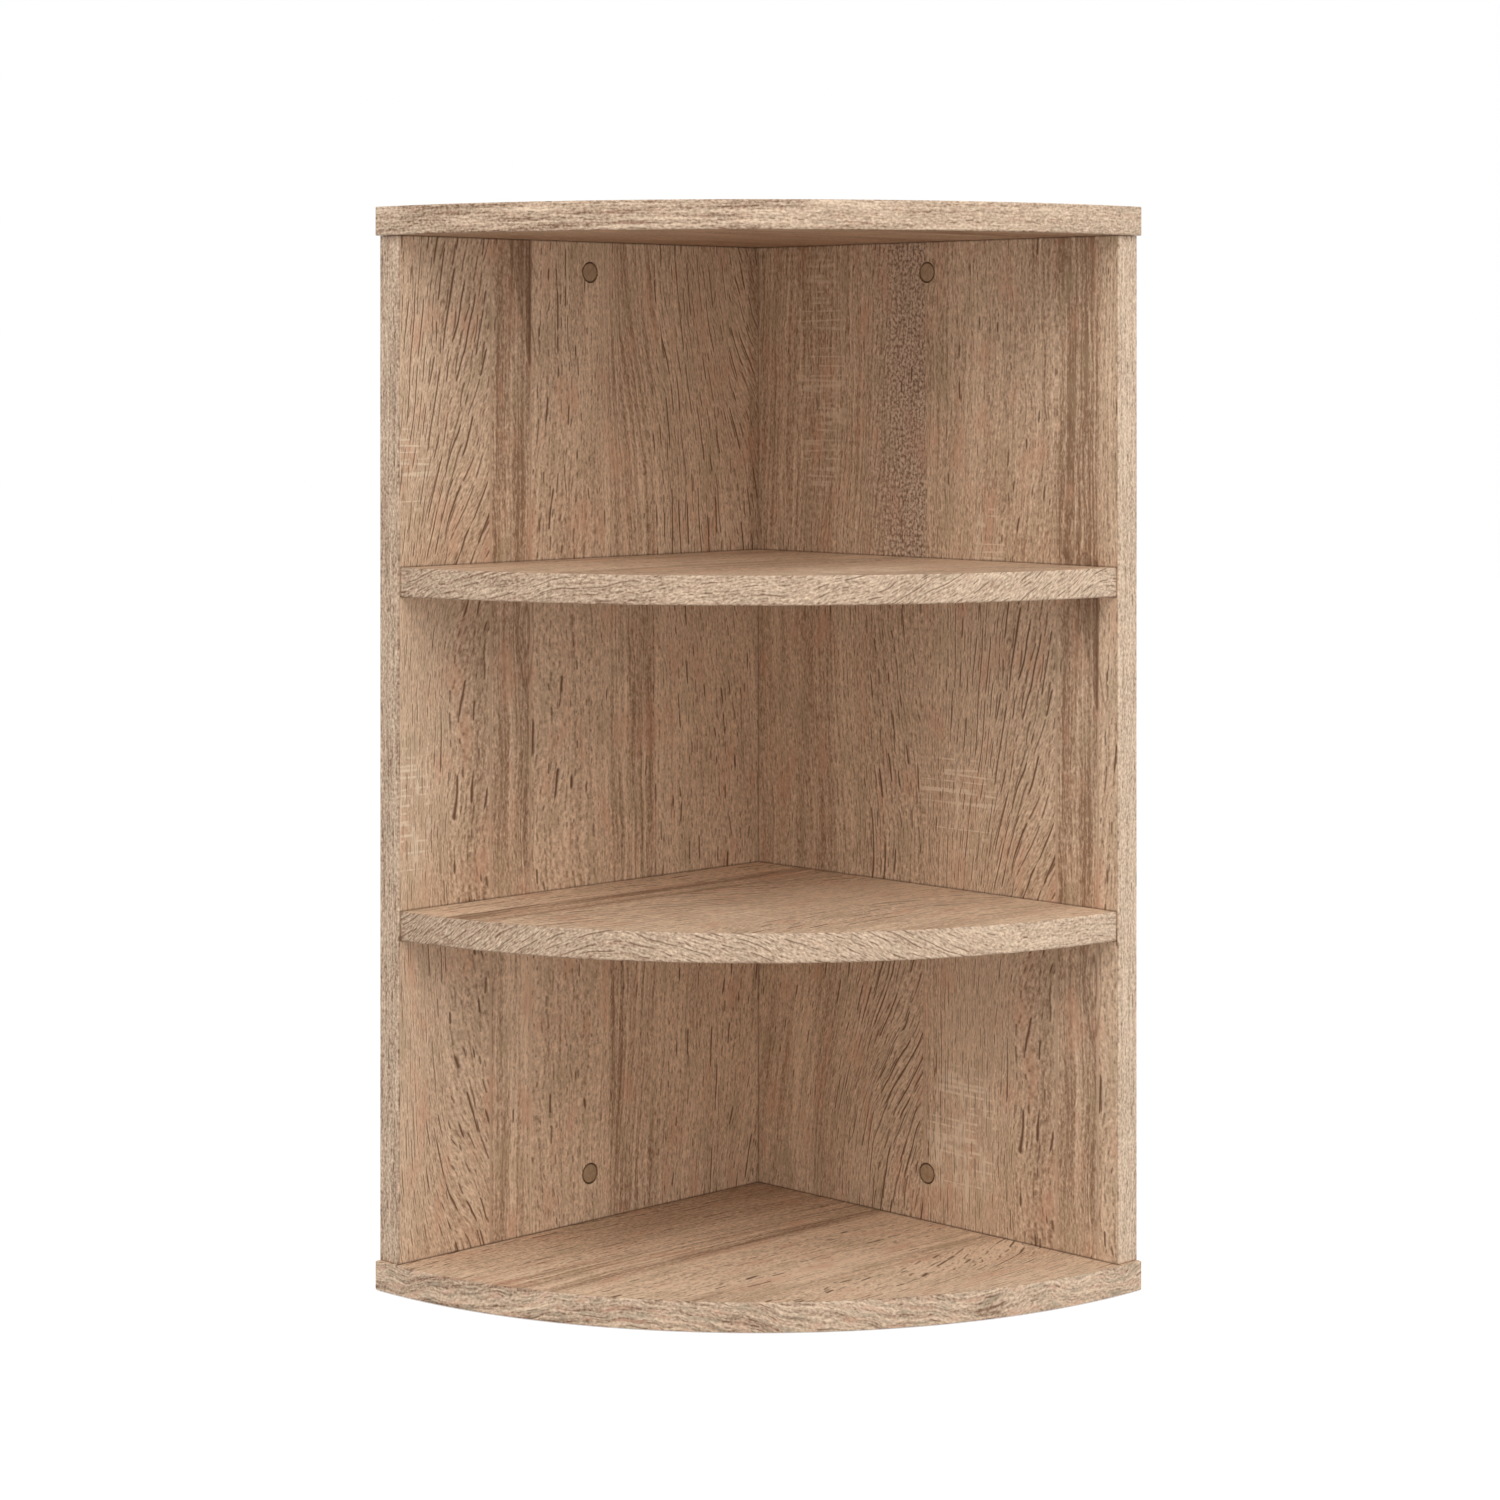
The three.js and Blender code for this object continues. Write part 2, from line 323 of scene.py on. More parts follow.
print("pores open over", PORE_OPENING, "of the noise's range")

# %% [markdown]
# ## The printed oak decor
#
# The decor shows boards glued side by side, each with its own figure: one has long slanting pores,
# the next one is straight and streaky, another is stippled. All the boards of the unit are cut from
# this same print, each from a place of its own. The right side panel's piece lies 191 mm lower than
# the left one's.
#
# The charts below describe the print across its width, in millimetres. The first says for each
# stretch how much its short pores and streaks show, and its long pores in the print's upper and lower
# half. Each stretch has one tone, in per cent lighter or darker than the middle tone. A few broad
# streaks are darker or lighter than the stretch that they lie in; the one at 211 mm is painted shade
# in the inner corner of the left panel's top compartment. The tones were set by comparing renders
# with the photograph, one broad region at a time.

# %% Charts of the print across its width
PRINT_START = -236.0
PRINT_JOINT = -99.0
PRINT_END = 214.0
SHARP = 0.2
marks_chart = [
    # start, softness of that edge, long pores above, short pores, streaks, long pores below
    (-236, SHARP, 0.0, 0.35, 0.60, 0.0),
    (-201, 8, 0.0, 0.45, 0.60, 0.15),
    (-171, 8, 0.2, 0.85, 0.45, 0.7),
    (-147, 12, 0.7, 1.00, 0.20, 1.1),
    (-99, SHARP, 0.4, 0.95, 0.50, 0.6),
    (-82, 14, 0.9, 0.65, 0.30, 0.7),
    (-50, 20, 1.15, 0.60, 0.25, 0.65),
    (0, SHARP, 0.0, 0.10, 1.00, 0.0),
    (12, 3, 0.0, 0.20, 1.20, 0.0),
    (31, SHARP, 0.55, 0.65, 0.45, 0.3),
    (80, 14, 0.1, 0.35, 0.35, 0.1),
    (92, 6, 0.0, 0.30, 1.30, 0.0),
    (128, 8, 0.8, 0.70, 0.40, 0.4),
]
stretch_tones = [2, -4, 4, 3, 3, 6, 2, -6, -6, 5, 6, 0, 6]
broad_streaks_and_corner_shade = [
    # place across, half width, lowest and highest place, tone
    (8, 4, -125, 280, -8), (24, 7, -125, 280, -7), (22, 9, -510, -315, 15),
    (-12, 10, -315, -125, -8), (98, 5, -510, -315, -12), (122, 7, -315, -125, -6),
    # the streak at 211 is painted shade in the inner corner of the left panel's top compartment
    (-197, 9, -315, -125, 8), (211, 5, -125, 77, -14),
]
flow_chart = [
    # place, and how much of each of three flow lines the grain follows there
    (-236, (0.3, 0, 0)), (-190, (0.4, 0, 0)), (-140, (1.0, 0, 0)), (-99.2, (1.0, 0, 0)),
    (-99, (0, 0.0, 0)), (-86, (0, 0.1, 0)), (-46, (0, 0.9, 0)), (-30, (0, 1.0, 0)),
    (-0.2, (0, 0.9, 0)), (0, (0, 0, 0)), (30.8, (0, 0, 0)), (31, (0, 0.2, 0)),
    (84, (0, 0, 0.1)), (100, (0, 0, 0.4)), (140, (0, 0, 0.45)), (190, (0, 0, 1.0)),
    (214, (0, 0, 1.0)),
]

print("stretches:", len(marks_chart), "broad streaks:", len(broad_streaks_and_corner_shade))

# %% [markdown]
# A chart becomes a colour ramp, whose red, green, blue and alpha carry up to four numbers at once.
# Tones are below 0 as well, which a ramp can't hold, so each is stored as a share of the way from the
# darkest tone to the lightest one.

# %% Looking a place up in a chart
TONE_RANGE = 25.0


def share_of(value, low, high):
    return (value - low) / (high - low)


def stored_tone(tone):
    return share_of(tone, -TONE_RANGE, TONE_RANGE)


def restored_tone(value):
    return value * (2 * TONE_RANGE) - TONE_RANGE


def stretch_stops(chart):
    """Ramp stops for a chart of stretches. Each keeps its values between its edges."""
    stops = []
    ends = [row[0] for row in chart[1:]] + [PRINT_END]
    softness = [row[1] for row in chart[1:]] + [0]
    for row, end, soft_end in zip(chart, ends, softness):
        for place in (row[0] + row[1] / 2, end - soft_end / 2):
            stops.append((share_of(place, PRINT_START, PRINT_END), tuple(row[2:])))
    return stops


def place_stops(chart):
    """Ramp stops for a chart of places, whose values lie between 0 and 1."""
    first, last = chart[0][0], chart[-1][0]
    return [(share_of(place, first, last), values) for place, values in chart]


def looked_up(place, stops, how="LINEAR"):
    """The numbers that the stops give for a place between 0 and 1."""
    finish = place.finish
    settings = {"interpolation": how, "stops": stops}
    colour = finish.node("ShaderNodeValToRGB", settings, {"Fac": place}, "Color")
    fourth = Wire(finish, colour.socket.node.outputs["Alpha"])
    return split(finish, colour) + [fourth]


def stretch_tone(share):
    """The tone of the stretch that a place across the print lies in, in per cent."""
    chart = []
    for row, tone in zip(marks_chart, stretch_tones):
        stored = stored_tone(tone)
        chart.append((*row[:2], stored, stored, stored))
    return restored_tone(looked_up(share, stretch_stops(chart))[0])


print("stops for the stretches:", len(stretch_stops(marks_chart)))

# %% [markdown]
# The grain isn't parallel to the print's edges: its pores lean over, stand up again and lean the
# other way. A flow line says how far the grain has moved sideways at each height. It is worked out
# from slopes at a few heights: 0.4 is a lean of 40 mm in 100 mm. The slopes are rounded readings of
# how the pores lean in the photograph.

# %% Flow lines
PRINT_LOW = -496.0
PRINT_HIGH = 264.0
slopes_inner = [(-496, 0), (-300, 0.1), (-268, 0.3), (-224, 0.7), (-180, 0.45), (-130, 0.1),
                (-90, -0.06), (-40, -0.15), (40, -0.1), (110, 0.1), (264, 0.05)]
slopes_front = [(-496, -0.5), (-460, -0.45), (-425, -0.3), (-390, -0.12), (-340, -0.15), (-280, -0.06),
                (-235, 0.12), (-200, 0.06), (-170, 0.08), (-130, 0.4), (-90, 0.48), (-50, 0.38),
                (-10, 0.24), (60, 0.18), (110, 0.08), (264, 0)]
slopes_rear = [(-496, 0.16), (-450, 0.2), (-390, 0.08), (-300, 0.02), (-250, -0.1), (-200, -0.04),
               (-160, -0.12), (-70, -0.16), (-40, -0.36), (0, -0.45), (30, -0.46), (70, -0.2), (264, 0)]
FLOW_STEPS = 30


def slope_at(slopes, height):
    for (low, first), (high, second) in zip(slopes, slopes[1:]):
        if height <= high:
            return first + (second - first) * share_of(height, low, high)
    return slopes[-1][1]


def flow_line(slopes, low, high):
    """How far the grain has moved sideways at each of the steps from low to high."""
    step = (high - low) / FLOW_STEPS
    line = [0.0]
    for number in range(FLOW_STEPS):
        middle = low + (number + 0.5) * step
        line.append(line[-1] + step * slope_at(slopes, middle))
    return line


def flow_at(along, slope_lists, low, high):
    """The three flow lines' sideways moves at a height, in millimetres. Each is 0 at the height
    where it lies farthest across: between two unlike flows the marks then crowd a little, and are
    never drawn out wide."""
    lines = [flow_line(slopes, low, high) for slopes in slope_lists]
    reach = [max(max(line) - min(line), 1.0) for line in lines]
    least = [min(line) for line in lines]
    stops = []
    for number, values in enumerate(zip(*lines)):
        colour = tuple((v - l) / r for v, l, r in zip(values, least, reach))
        stops.append((number / FLOW_STEPS, colour))
    found = looked_up(share_of(along, low, high), stops, "B_SPLINE")
    return [(found[n] - 1.0) * reach[n] for n in range(3)]


print("front flow:", [round(x) for x in flow_line(slopes_front, PRINT_LOW, PRINT_HIGH)][::6])

# %% [markdown]
# ### Single figures of the print
#
# Some marks stand alone: pale scratches that a saw left across the grain, which look like small
# ladders, long closed eyes in the straight board, and dark wedges that end in a point. Each is a
# shape around a place of its own, and its outline is shaken a little so that it looks grown.

# %% Single figures
def inside_oval(spot, place, size):
    """How far a point is from an oval's middle, as a share: 1 on the oval."""
    finish = spot.finish
    from_middle = finish.node("ShaderNodeVectorMath", {"operation": "SUBTRACT"}, {0: spot, 1: (*place, 0)})
    share = finish.node("ShaderNodeVectorMath", {"operation": "DIVIDE"}, {0: from_middle, 1: (*size, 1)})
    return finish.node("ShaderNodeVectorMath", {"operation": "LENGTH"}, {0: share}, "Value")


def ladder_marks(across, along):
    """Pale, straight, broken lines: rungs across the grain and rails along it, everywhere."""
    rungs = grain_noise(across, along, 150.0, 5.5, 3.1, 0.0)
    rails = grain_noise(across, along, 7.0, 220.0, 5.7, 0.0)
    broken = grain_noise(across, along, 14.0, 12.0, 4.2, 1.0)
    rung_lines = step_between(abs(rungs - 0.5), 0.1, 0.03)
    rail_lines = step_between(abs(rails - 0.5), 0.08, 0.02)
    return rung_lines * step_between(broken, 0.4, 0.5), rail_lines * step_between(broken, 0.36, 0.5)


def eye_rings(spot, place, size):
    """Two thin rings, one inside the other, round a long narrow oval."""
    from_ring = abs(abs(inside_oval(spot, place, size) - 0.72) - 0.28)
    return step_between(from_ring, 0.17, 0.02)


def wedge(across, along, tip, length, spread):
    """A dark wedge that stands on its tip, darkest at its upright side, and fades out upwards."""
    up = (along - tip[1]) / length
    side = across - tip[0]
    lean = side + up * spread
    body = step_between(side, 0.8, -0.4) * step_between(lean, -0.8, 0.8)
    upright = step_between(abs(side + 0.8), 2.0, 0.2)
    slanted = largest(step_between(abs(lean), 1.4, 0.1), step_between(abs(lean - spread / 3), 1.2, 0.1))
    tall = step_between(up, -0.02, 0.04) * step_between(up, 1.15, 1.0)
    return largest(body * 0.4, largest(upright, slanted * 0.6)) * tall


ladders = [
    # place, size, strength of the rungs and of the rails
    ((-182, 185), (23, 88), 0.42, 0.15), ((-72, -58), (34, 34), 0.75, 0.55),
    ((-70, -250), (30, 48), 0.85, 0.7), ((-50, 90), (14, 26), 0.6, 0.3),
]
eyes = [
    # place, size, strength
    ((27, -150), (5.5, 30), 0.45), ((9.3, 122), (7.5, 38), 0.3), ((28, -262), (5, 22), 0.3),
]
wedges = [((30.5, 0), 76, 17), ((30.5, 50), 32, 13)]

print("ladders:", len(ladders), "eyes:", len(eyes), "wedges:", len(wedges))

# %% [markdown]
# ### Colours of the decor
#
# The lightest and the darkest wood of the print lie not far apart. Over them lie soft clouds of a
# pinker and of a greener brown, and the pores are a deep brown.

# %% Decor colours
OAK_DARK = srgb(147, 113, 86)
OAK_LIGHT = srgb(240, 210, 179)
OAK_PINK = srgb(211, 161, 131)
OAK_GREEN = srgb(174, 152, 118)
OAK_PORE = srgb(106, 72, 47)
OAK_COOL = srgb(150, 130, 122)
# Pale colour of the printed saw scratches, and of the painted highlights beside the pores.
OAK_PALE_AND_HIGHLIGHT = srgb(238, 214, 186)
TONE_STEP = 0.019

print("oak from", OAK_DARK[:3], "to", OAK_LIGHT[:3])


# %% The decor itself
def oak_colours(across, along, grain, tone, amounts):
    """Colour and relief of the oak print. Across and along are a point's place on the print and
    grain is its place across the leaning grain, in millimetres. Tone is in per cent."""
    long_amount, short_amount, streak_amount, stipple_amount = amounts
    fibre = grain_noise(grain, along, 1.3, 5.5, 1.7, 2.0) - 0.5
    speckle = grain_noise(grain, along, 1.2, 2.2, 4.9, 1.0) - 0.5
    streak = grain_noise(grain, along, 2.6, 130.0, 9.2, 2.6) - 0.5
    broad = grain_noise(grain, along, 12.0, 240.0, 4.4) - 0.5
    cloud = grain_noise(across, along, 30.0, 60.0, 6.3) - 0.5
    tint = grain_noise(across, along, 16.0, 40.0, 8.8) - 0.5
    dots = grain_noise(across, along, 1.7, 2.0, 2.9, 1.0) - 0.5

    value = tone * TONE_STEP + 0.5
    value = value + fibre * 1.2 + speckle * 0.8 + streak * (streak_amount * 1.1 + 0.3)
    value = value + broad * 0.2 + cloud * 0.25 + dots * (stipple_amount * 2.5)
    colour = mixed(value, OAK_DARK, OAK_LIGHT)
    colour = mixed(step_between(tint, 0.02, 0.3) * 0.5, colour, OAK_PINK)
    colour = mixed(step_between(tint, -0.02, -0.3) * 0.4, colour, OAK_GREEN)
    colour = mixed(stipple_amount * 0.3, colour, OAK_COOL)

    patches = step_between(cloud, -0.25, 0.2) * 0.3 + 0.7
    first, first_highlights = pore_lines(grain, along, 7.4, 24.0, 0.9, long_amount * patches, 1.1)
    second, second_highlights = pore_lines(grain, along, 7.9, 12.0, 0.8, long_amount, 6.4)
    short, short_highlights = pore_lines(grain, along, 3.4, 6.0, 0.7, short_amount, 3.6)
    dark_dots = step_between(dots, -0.06, -0.2) * stipple_amount
    marks = largest(largest(first, second * 0.85) * 0.95, short * 0.6)
    marks = largest(marks, dark_dots * 0.45)
    # The pale edges beside the pores are painted highlight.
    edges = largest(largest(first_highlights, second_highlights) * 0.3, short_highlights * 0.2)
    return mixed(edges, colour, OAK_PALE_AND_HIGHLIGHT), marks, fibre * 0.5 - first * 0.6


print("the decor is ready")


# %% The print on a board
ZONE_SOFTNESS = 8.0
STREAK_SOFTNESS = 1.5
TOP_ZONE = 77.0
UPPER_ZONE = -125.0
TOP_TONE = -3.0
LOW_TONE = 2.0
STIPPLE_START = -156.0
STIPPLE_FULL = -108.0


def wrapped(value, low, high):
    """A place that starts again at low when it has passed high, as a print repeats."""
    return value.math("WRAP", value, high, low)


def within(value, middle, half_width):
    """1 inside a streak and 0 outside it, with soft sides."""
    return step_between(abs(value - middle), half_width + STREAK_SOFTNESS, half_width - STREAK_SOFTNESS)


def zone_above(along, height):
    """1 above a height of the print and 0 below it, with a soft step."""
    return step_between(along, height - ZONE_SOFTNESS, height + ZONE_SOFTNESS)


def print_tone(across, along, share):
    """The tone of the print at a place, in per cent. The print is darkest at its top."""
    tone = stretch_tone(share) + TOP_TONE * zone_above(along, TOP_ZONE)
    tone = tone + LOW_TONE * (1.0 - zone_above(along, UPPER_ZONE))
    for middle, half_width, low, high, strength in broad_streaks_and_corner_shade:
        beside = within(across, middle, half_width)
        tone = tone + beside * zone_above(along, low) * (1.0 - zone_above(along, high)) * strength
    return tone


def oak_print(across, along, lift=0.0):
    """Colour and relief at a place of the oak print, with its single figures. Lift makes it lighter,
    in per cent."""
    across = wrapped(across, PRINT_START, PRINT_END)
    along = wrapped(along, PRINT_LOW, PRINT_HIGH)
    share = share_of(across, PRINT_START, PRINT_END)
    long_above, short_amount, streak_amount, long_below = looked_up(share, stretch_stops(marks_chart))
    at_top = zone_above(along, TOP_ZONE)
    long_above = long_above * (1.0 - at_top * 0.8)
    long_amount = long_below + (long_above - long_below) * zone_above(along, UPPER_ZONE)
    streak_amount = streak_amount + at_top * 0.3
    stipple = step_between(across, STIPPLE_START, STIPPLE_FULL) * (across < PRINT_JOINT)
    stipple = stipple * (at_top * 0.85 + 0.15)
    weights = looked_up(share, place_stops(flow_chart))
    flows = flow_at(along, (slopes_inner, slopes_front, slopes_rear), PRINT_LOW, PRINT_HIGH)
    lean = weights[0] * flows[0] + weights[1] * flows[1] + weights[2] * flows[2]
    waver = (grain_noise(across, along, 42.0, 120.0, 5.5) - 0.5) * 9.0
    curl = (grain_noise(across, along, 9.0, 30.0, 7.5, 1.0) - 0.5) * 1.6
    grain = across - lean + waver + curl
    amounts = (long_amount, short_amount, streak_amount, stipple)
    tone = print_tone(across + curl * 0.6, along, share) + lift
    colour, marks, relief = oak_colours(across, along, grain, tone, amounts)

    spot = joined(across.finish, across, along)
    rungs, rails = ladder_marks(across, along)
    for middle, size, rung_share, rail_share in ladders:
        scratches = largest(rungs * rung_share, rails * rail_share)
        inside = step_between(inside_oval(spot, middle, size), 1.0, 0.7)
        colour = mixed(scratches * inside, colour, OAK_PALE_AND_HIGHLIGHT)
    shaken = across + curl * 0.8
    spot = joined(across.finish, shaken, along)
    figures = [eye_rings(spot, place, size) * strength for place, size, strength in eyes]
    figures += [wedge(shaken, along, *sizes) * 0.75 for sizes in wedges]
    marks = functools.reduce(largest, figures, marks)
    return mixed(marks, colour, OAK_PORE), relief


print("the print is ready")

# %% [markdown]
# ### Chipboard
#
# Where a board has no edge band its core shows. Chipboard is pressed in three layers: coarse chips
# in the middle, fine ones under both faces. A field of random cells gives each chip a tone of its
# own. The printed skin on the faces is only a quarter of a millimetre thick.

# %% Chipboard core
CHIP_DARK = srgb(158, 122, 82)
CHIP_LIGHT = srgb(226, 198, 156)
CHIP_GAP = srgb(96, 68, 42)
SKIN_THICKNESS = 0.25
FINE_LAYER = 3.0


def chip_cells(finish, place, size, output):
    """Chips of this size in millimetres, each with a colour, and how far a point is from its middle."""
    settings = {"voronoi_dimensions": "3D", "feature": "F1"}
    vector = joined(finish, place[0] / size[0], place[1] / size[1], place[2] / size[2])
    sockets = {"Vector": vector, "Scale": 1.0, "Randomness": 1.0}
    return finish.node("ShaderNodeTexVoronoi", settings, sockets, output)


def chipboard(finish, place, depth):
    """Colour and relief of the bare core. Depth is the distance below the nearest face."""
    coarse = split(finish, chip_cells(finish, place, (3.2, 3.2, 1.6), "Color"))[0]
    fine = split(finish, chip_cells(finish, place, (0.9, 0.9, 0.5), "Color"))[0]
    gaps = step_between(chip_cells(finish, place, (3.2, 3.2, 1.6), "Distance"), 0.55, 0.8)
    core = step_between(depth, FINE_LAYER - 0.8, FINE_LAYER + 0.8)
    value = fine + core * (coarse - fine)
    colour = mixed(value, CHIP_DARK, CHIP_LIGHT)
    return mixed(gaps * core * 0.8, colour, CHIP_GAP), value - gaps * core


print("chipboard is ready")

# %% [markdown]
# ### Painted shadows in the seams
#
# Where two boards meet, a fine dark line of painted shadow stands for the shade in the seam between
# them. A point lies on such a line when it is close to two of the planes in which the boards' faces lie.

# %% Painted seam shadows
SEAM_SHADOW_COLOUR = srgb(94, 64, 42)
SEAM_SHADOW_STRENGTH = 0.55
SEAM_CORE = 0.2
SEAM_REACH = 1.2
UPRIGHT_SEAM_SHADOW_SHARE = 0.6
left_inner_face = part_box("left_side_panel")[1].x / MM
right_inner_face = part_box("right_side_panel")[0].y / MM
bottom_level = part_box("bottom_board")[1].z / MM
top_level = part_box("top_board")[0].z / MM
shelf_levels = [corner.z / MM for shelf in ("lower_shelf", "upper_shelf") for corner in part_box(shelf)]


def near_plane(value, plane):
    """1 on a plane, and 0 past the reach of a seam."""
    return step_between(abs(value - plane), SEAM_REACH, SEAM_CORE)


def near_walls(place):
    return near_plane(place[0], left_inner_face), near_plane(place[1], right_inner_face)


def near_levels(place, levels):
    return functools.reduce(largest, [near_plane(place[2], level) for level in levels])


def seam_shadows(place, lies_flat):
    """How dark a board is from the painted shadow along its seams. A board that lies flat has no upright
    seam.
    """
    left, right = near_walls(place)
    level = near_levels(place, [bottom_level, *shelf_levels, top_level])
    lines = smallest(largest(left, right), level)
    return lines if lies_flat else largest(lines, smallest(left, right) * UPRIGHT_SEAM_SHADOW_SHARE)


print("seams at the heights:", [round(z, 1) for z in (bottom_level, *shelf_levels, top_level)])


# %% One finish for a whole board
RELIEF_HEIGHT = 0.2 * MM
FINE_RELIEF_HEIGHT = 0.1 * MM


def matte(finish, colour, relief, roughness, bump):
    """A matte shader. A relief of 1 stands as high as the relief height."""
    sockets = {"Strength": bump, "Distance": RELIEF_HEIGHT, "Height": relief}
    return finish.node("ShaderNodeBsdfPrincipled", None, {
        "Base Color": colour,
        "Roughness": roughness,
        "Specular IOR Level": 0.35,
        "Normal": finish.node("ShaderNodeBump", None, sockets),
    })


def board_finish(name, thickness_axis, printed):
    """The finish of a board: print on its two broad faces, chipboard on its bare edges. Printed is
    a function that gives the print for a place, and whether it's on the far face."""
    finish = new_finish(name)
    place = place_in_mm(finish)
    low, high = [corner[thickness_axis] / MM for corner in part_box(name)]
    level = place[thickness_axis]
    depth = level.math("MINIMUM", level - low, high - level)
    far = level < (low + high) / 2
    colour, relief = printed(place, far)
    # Painted shadow along the seams where this board meets the others.
    seams = seam_shadows(place, thickness_axis == 2) * SEAM_SHADOW_STRENGTH
    face = matte(finish, mixed(seams, colour, SEAM_SHADOW_COLOUR), relief, 0.52, 0.35)
    core = matte(finish, *chipboard(finish, place, depth), 0.8, 0.8)
    bare = depth > SKIN_THICKNESS
    return finish.surface(finish.node("ShaderNodeMixShader", None, {0: bare, 1: face, 2: core}))


LEFT_CUT = 230.4
RIGHT_CUT = 251.8
LEFT_CUT_HEIGHT = 511.3
RIGHT_CUT_HEIGHT = 320.0
OUTER_FACE_SHIFT = 173.0
UNDERSIDE_SHADE = 18.0


def left_panel_print(place, outer):
    from_wall = corner_y / MM - place[1]
    across = LEFT_CUT - from_wall + outer * OUTER_FACE_SHIFT
    return oak_print(across, place[2] - LEFT_CUT_HEIGHT + outer * OUTER_FACE_SHIFT)


def right_panel_print(place, inner):
    outer = 1.0 - inner
    from_wall = place[0] - corner_x / MM
    across = from_wall - RIGHT_CUT - outer * OUTER_FACE_SHIFT
    return oak_print(across, place[2] - RIGHT_CUT_HEIGHT - outer * OUTER_FACE_SHIFT)


def flat_board_print(cut, cut_height, lift, shade=0.0, streaks=()):
    """The print on a flat board. Its grain runs away from the right wall, and the cut is the place
    of the print at the outer back corner. Shade is painted shade that makes it darker towards the left
    wall, most towards the back, and the far face gets painted shade as well. Streaks are lines of its
    own: distance from the left wall, half width, and how dark, or below 0 how pale."""
    def printed(place, under):
        from_left_wall = place[0] - corner_x / MM
        from_right_wall = corner_y / MM - place[1]
        across = cut - from_left_wall + under * OUTER_FACE_SHIFT
        along = from_right_wall + cut_height + under * OUTER_FACE_SHIFT
        # Painted shade near the left wall, strongest towards the back, and painted shade on the far face.
        near_back = step_between(from_right_wall, 300.0, 130.0) * 0.7 + 0.3
        darker = step_between(from_left_wall, 120.0, 16.0) * near_back * shade
        darker = darker + under * UNDERSIDE_SHADE
        shaken = from_left_wall + (grain_noise(across, along, 20.0, 60.0, 2.4) - 0.5) * 5.0
        for middle, half_width, strength in streaks:
            darker = darker + within(shaken, middle, half_width) * strength
        return oak_print(across, along, lift - darker)
    return printed


# The bottom board's first streak, 66 mm from the left wall, adds to its painted shade there; the others
# are lines of the print.
bottom_streaks = [(66, 6, 7), (98, 3.5, 9), (118, 5.5, 15), (225, 11, -6)]
lower_shelf_streaks = [(59, 5, 12), (76, 3.5, 8)]
board_prints = {
    # the axis across the board's thickness, and its print
    "left_side_panel": (0, left_panel_print),
    "right_side_panel": (1, right_panel_print),
    "bottom_board": (2, flat_board_print(211, -496, 9, 26, bottom_streaks)),
    "lower_shelf": (2, flat_board_print(80, -221, 9, 0, lower_shelf_streaks)),
    "upper_shelf": (2, flat_board_print(140, -380, 1)),
    "top_board": (2, flat_board_print(100, -200, -1)),
}
for name, (axis, printed) in board_prints.items():
    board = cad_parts[name]
    board.data.materials.clear()
    board.data.materials.append(board_finish(name, axis, printed))
    print(name, "has", len(board.data.materials[0].node_tree.nodes), "nodes in its finish")

# %% [markdown]
# ## Edge bands
#
# An edge band is a printed plastic strip, one millimetre thick, with two softly rounded corners. In
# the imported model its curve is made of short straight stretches. Here the same section is swept
# again along the same curve in much shorter steps.

# %% Band section and sweeps
BAND_THICKNESS = 1 * MM
BAND_CORNER = 0.6 * MM
CORNER_STEPS = 5
ARC_STEPS = 180
SHARP_ANGLE = math.radians(30)


def band_section(back, front, low, high):
    """Points round a band's section: a flat back and two rounded front corners."""
    points = [(back, high), (back, low)]
    for middle, start in ((low + BAND_CORNER, -90), (high - BAND_CORNER, 0)):
        for step in range(CORNER_STEPS + 1):
            angle = math.radians(start + 90 * step / CORNER_STEPS)
            reach = front - BAND_CORNER + BAND_CORNER * math.cos(angle)
            points.append((reach, middle + BAND_CORNER * math.sin(angle)))
    return points


def mesh_piece(name, rings):
    """A closed piece from rings of points, each ring joined to the next one."""
    mesh = bmesh.new()
    rows = [[mesh.verts.new(point) for point in ring] for ring in rings]
    count = len(rows[0])
    for row, following in zip(rows, rows[1:]):
        for i in range(count):
            j = (i + 1) % count
            mesh.faces.new((row[i], row[j], following[j], following[i]))
    mesh.faces.new(rows[0][::-1])
    mesh.faces.new(rows[-1])
    bmesh.ops.recalc_face_normals(mesh, faces=mesh.faces)
    data = bpy.data.meshes.new(name)
    mesh.to_mesh(data)
    mesh.free()
    piece = bpy.data.objects.new(name, data)
    bpy.context.scene.collection.objects.link(piece)
    data.shade_smooth()
    data.set_sharp_from_angle(angle=SHARP_ANGLE)
    return piece


def dress(piece, node, material):
    """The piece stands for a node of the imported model."""
    piece.data.materials.append(material)
    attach(piece, "root")
    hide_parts(node)


def round_band(node):
    """A band round a quarter circle. Where the circle is cut by the side panels, each point of the
    section starts and ends on the panels' faces."""
    low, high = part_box(node)
    inset = low.x - corner_x
    radius = math.hypot(high.x - corner_x, inset)
    section = band_section(radius - BAND_THICKNESS, radius, low.z, high.z)
    rings = []
    for step in range(ARC_STEPS + 1):
        ring = []
        for reach, height in section:
            start = math.asin(inset / reach)
            angle = start + (math.pi / 2 - 2 * start) * step / ARC_STEPS
            ring.append((corner_x + reach * math.cos(angle), corner_y - reach * math.sin(angle), height))
        rings.append(ring)
    return mesh_piece(node.replace("edge_band", "band"), rings)


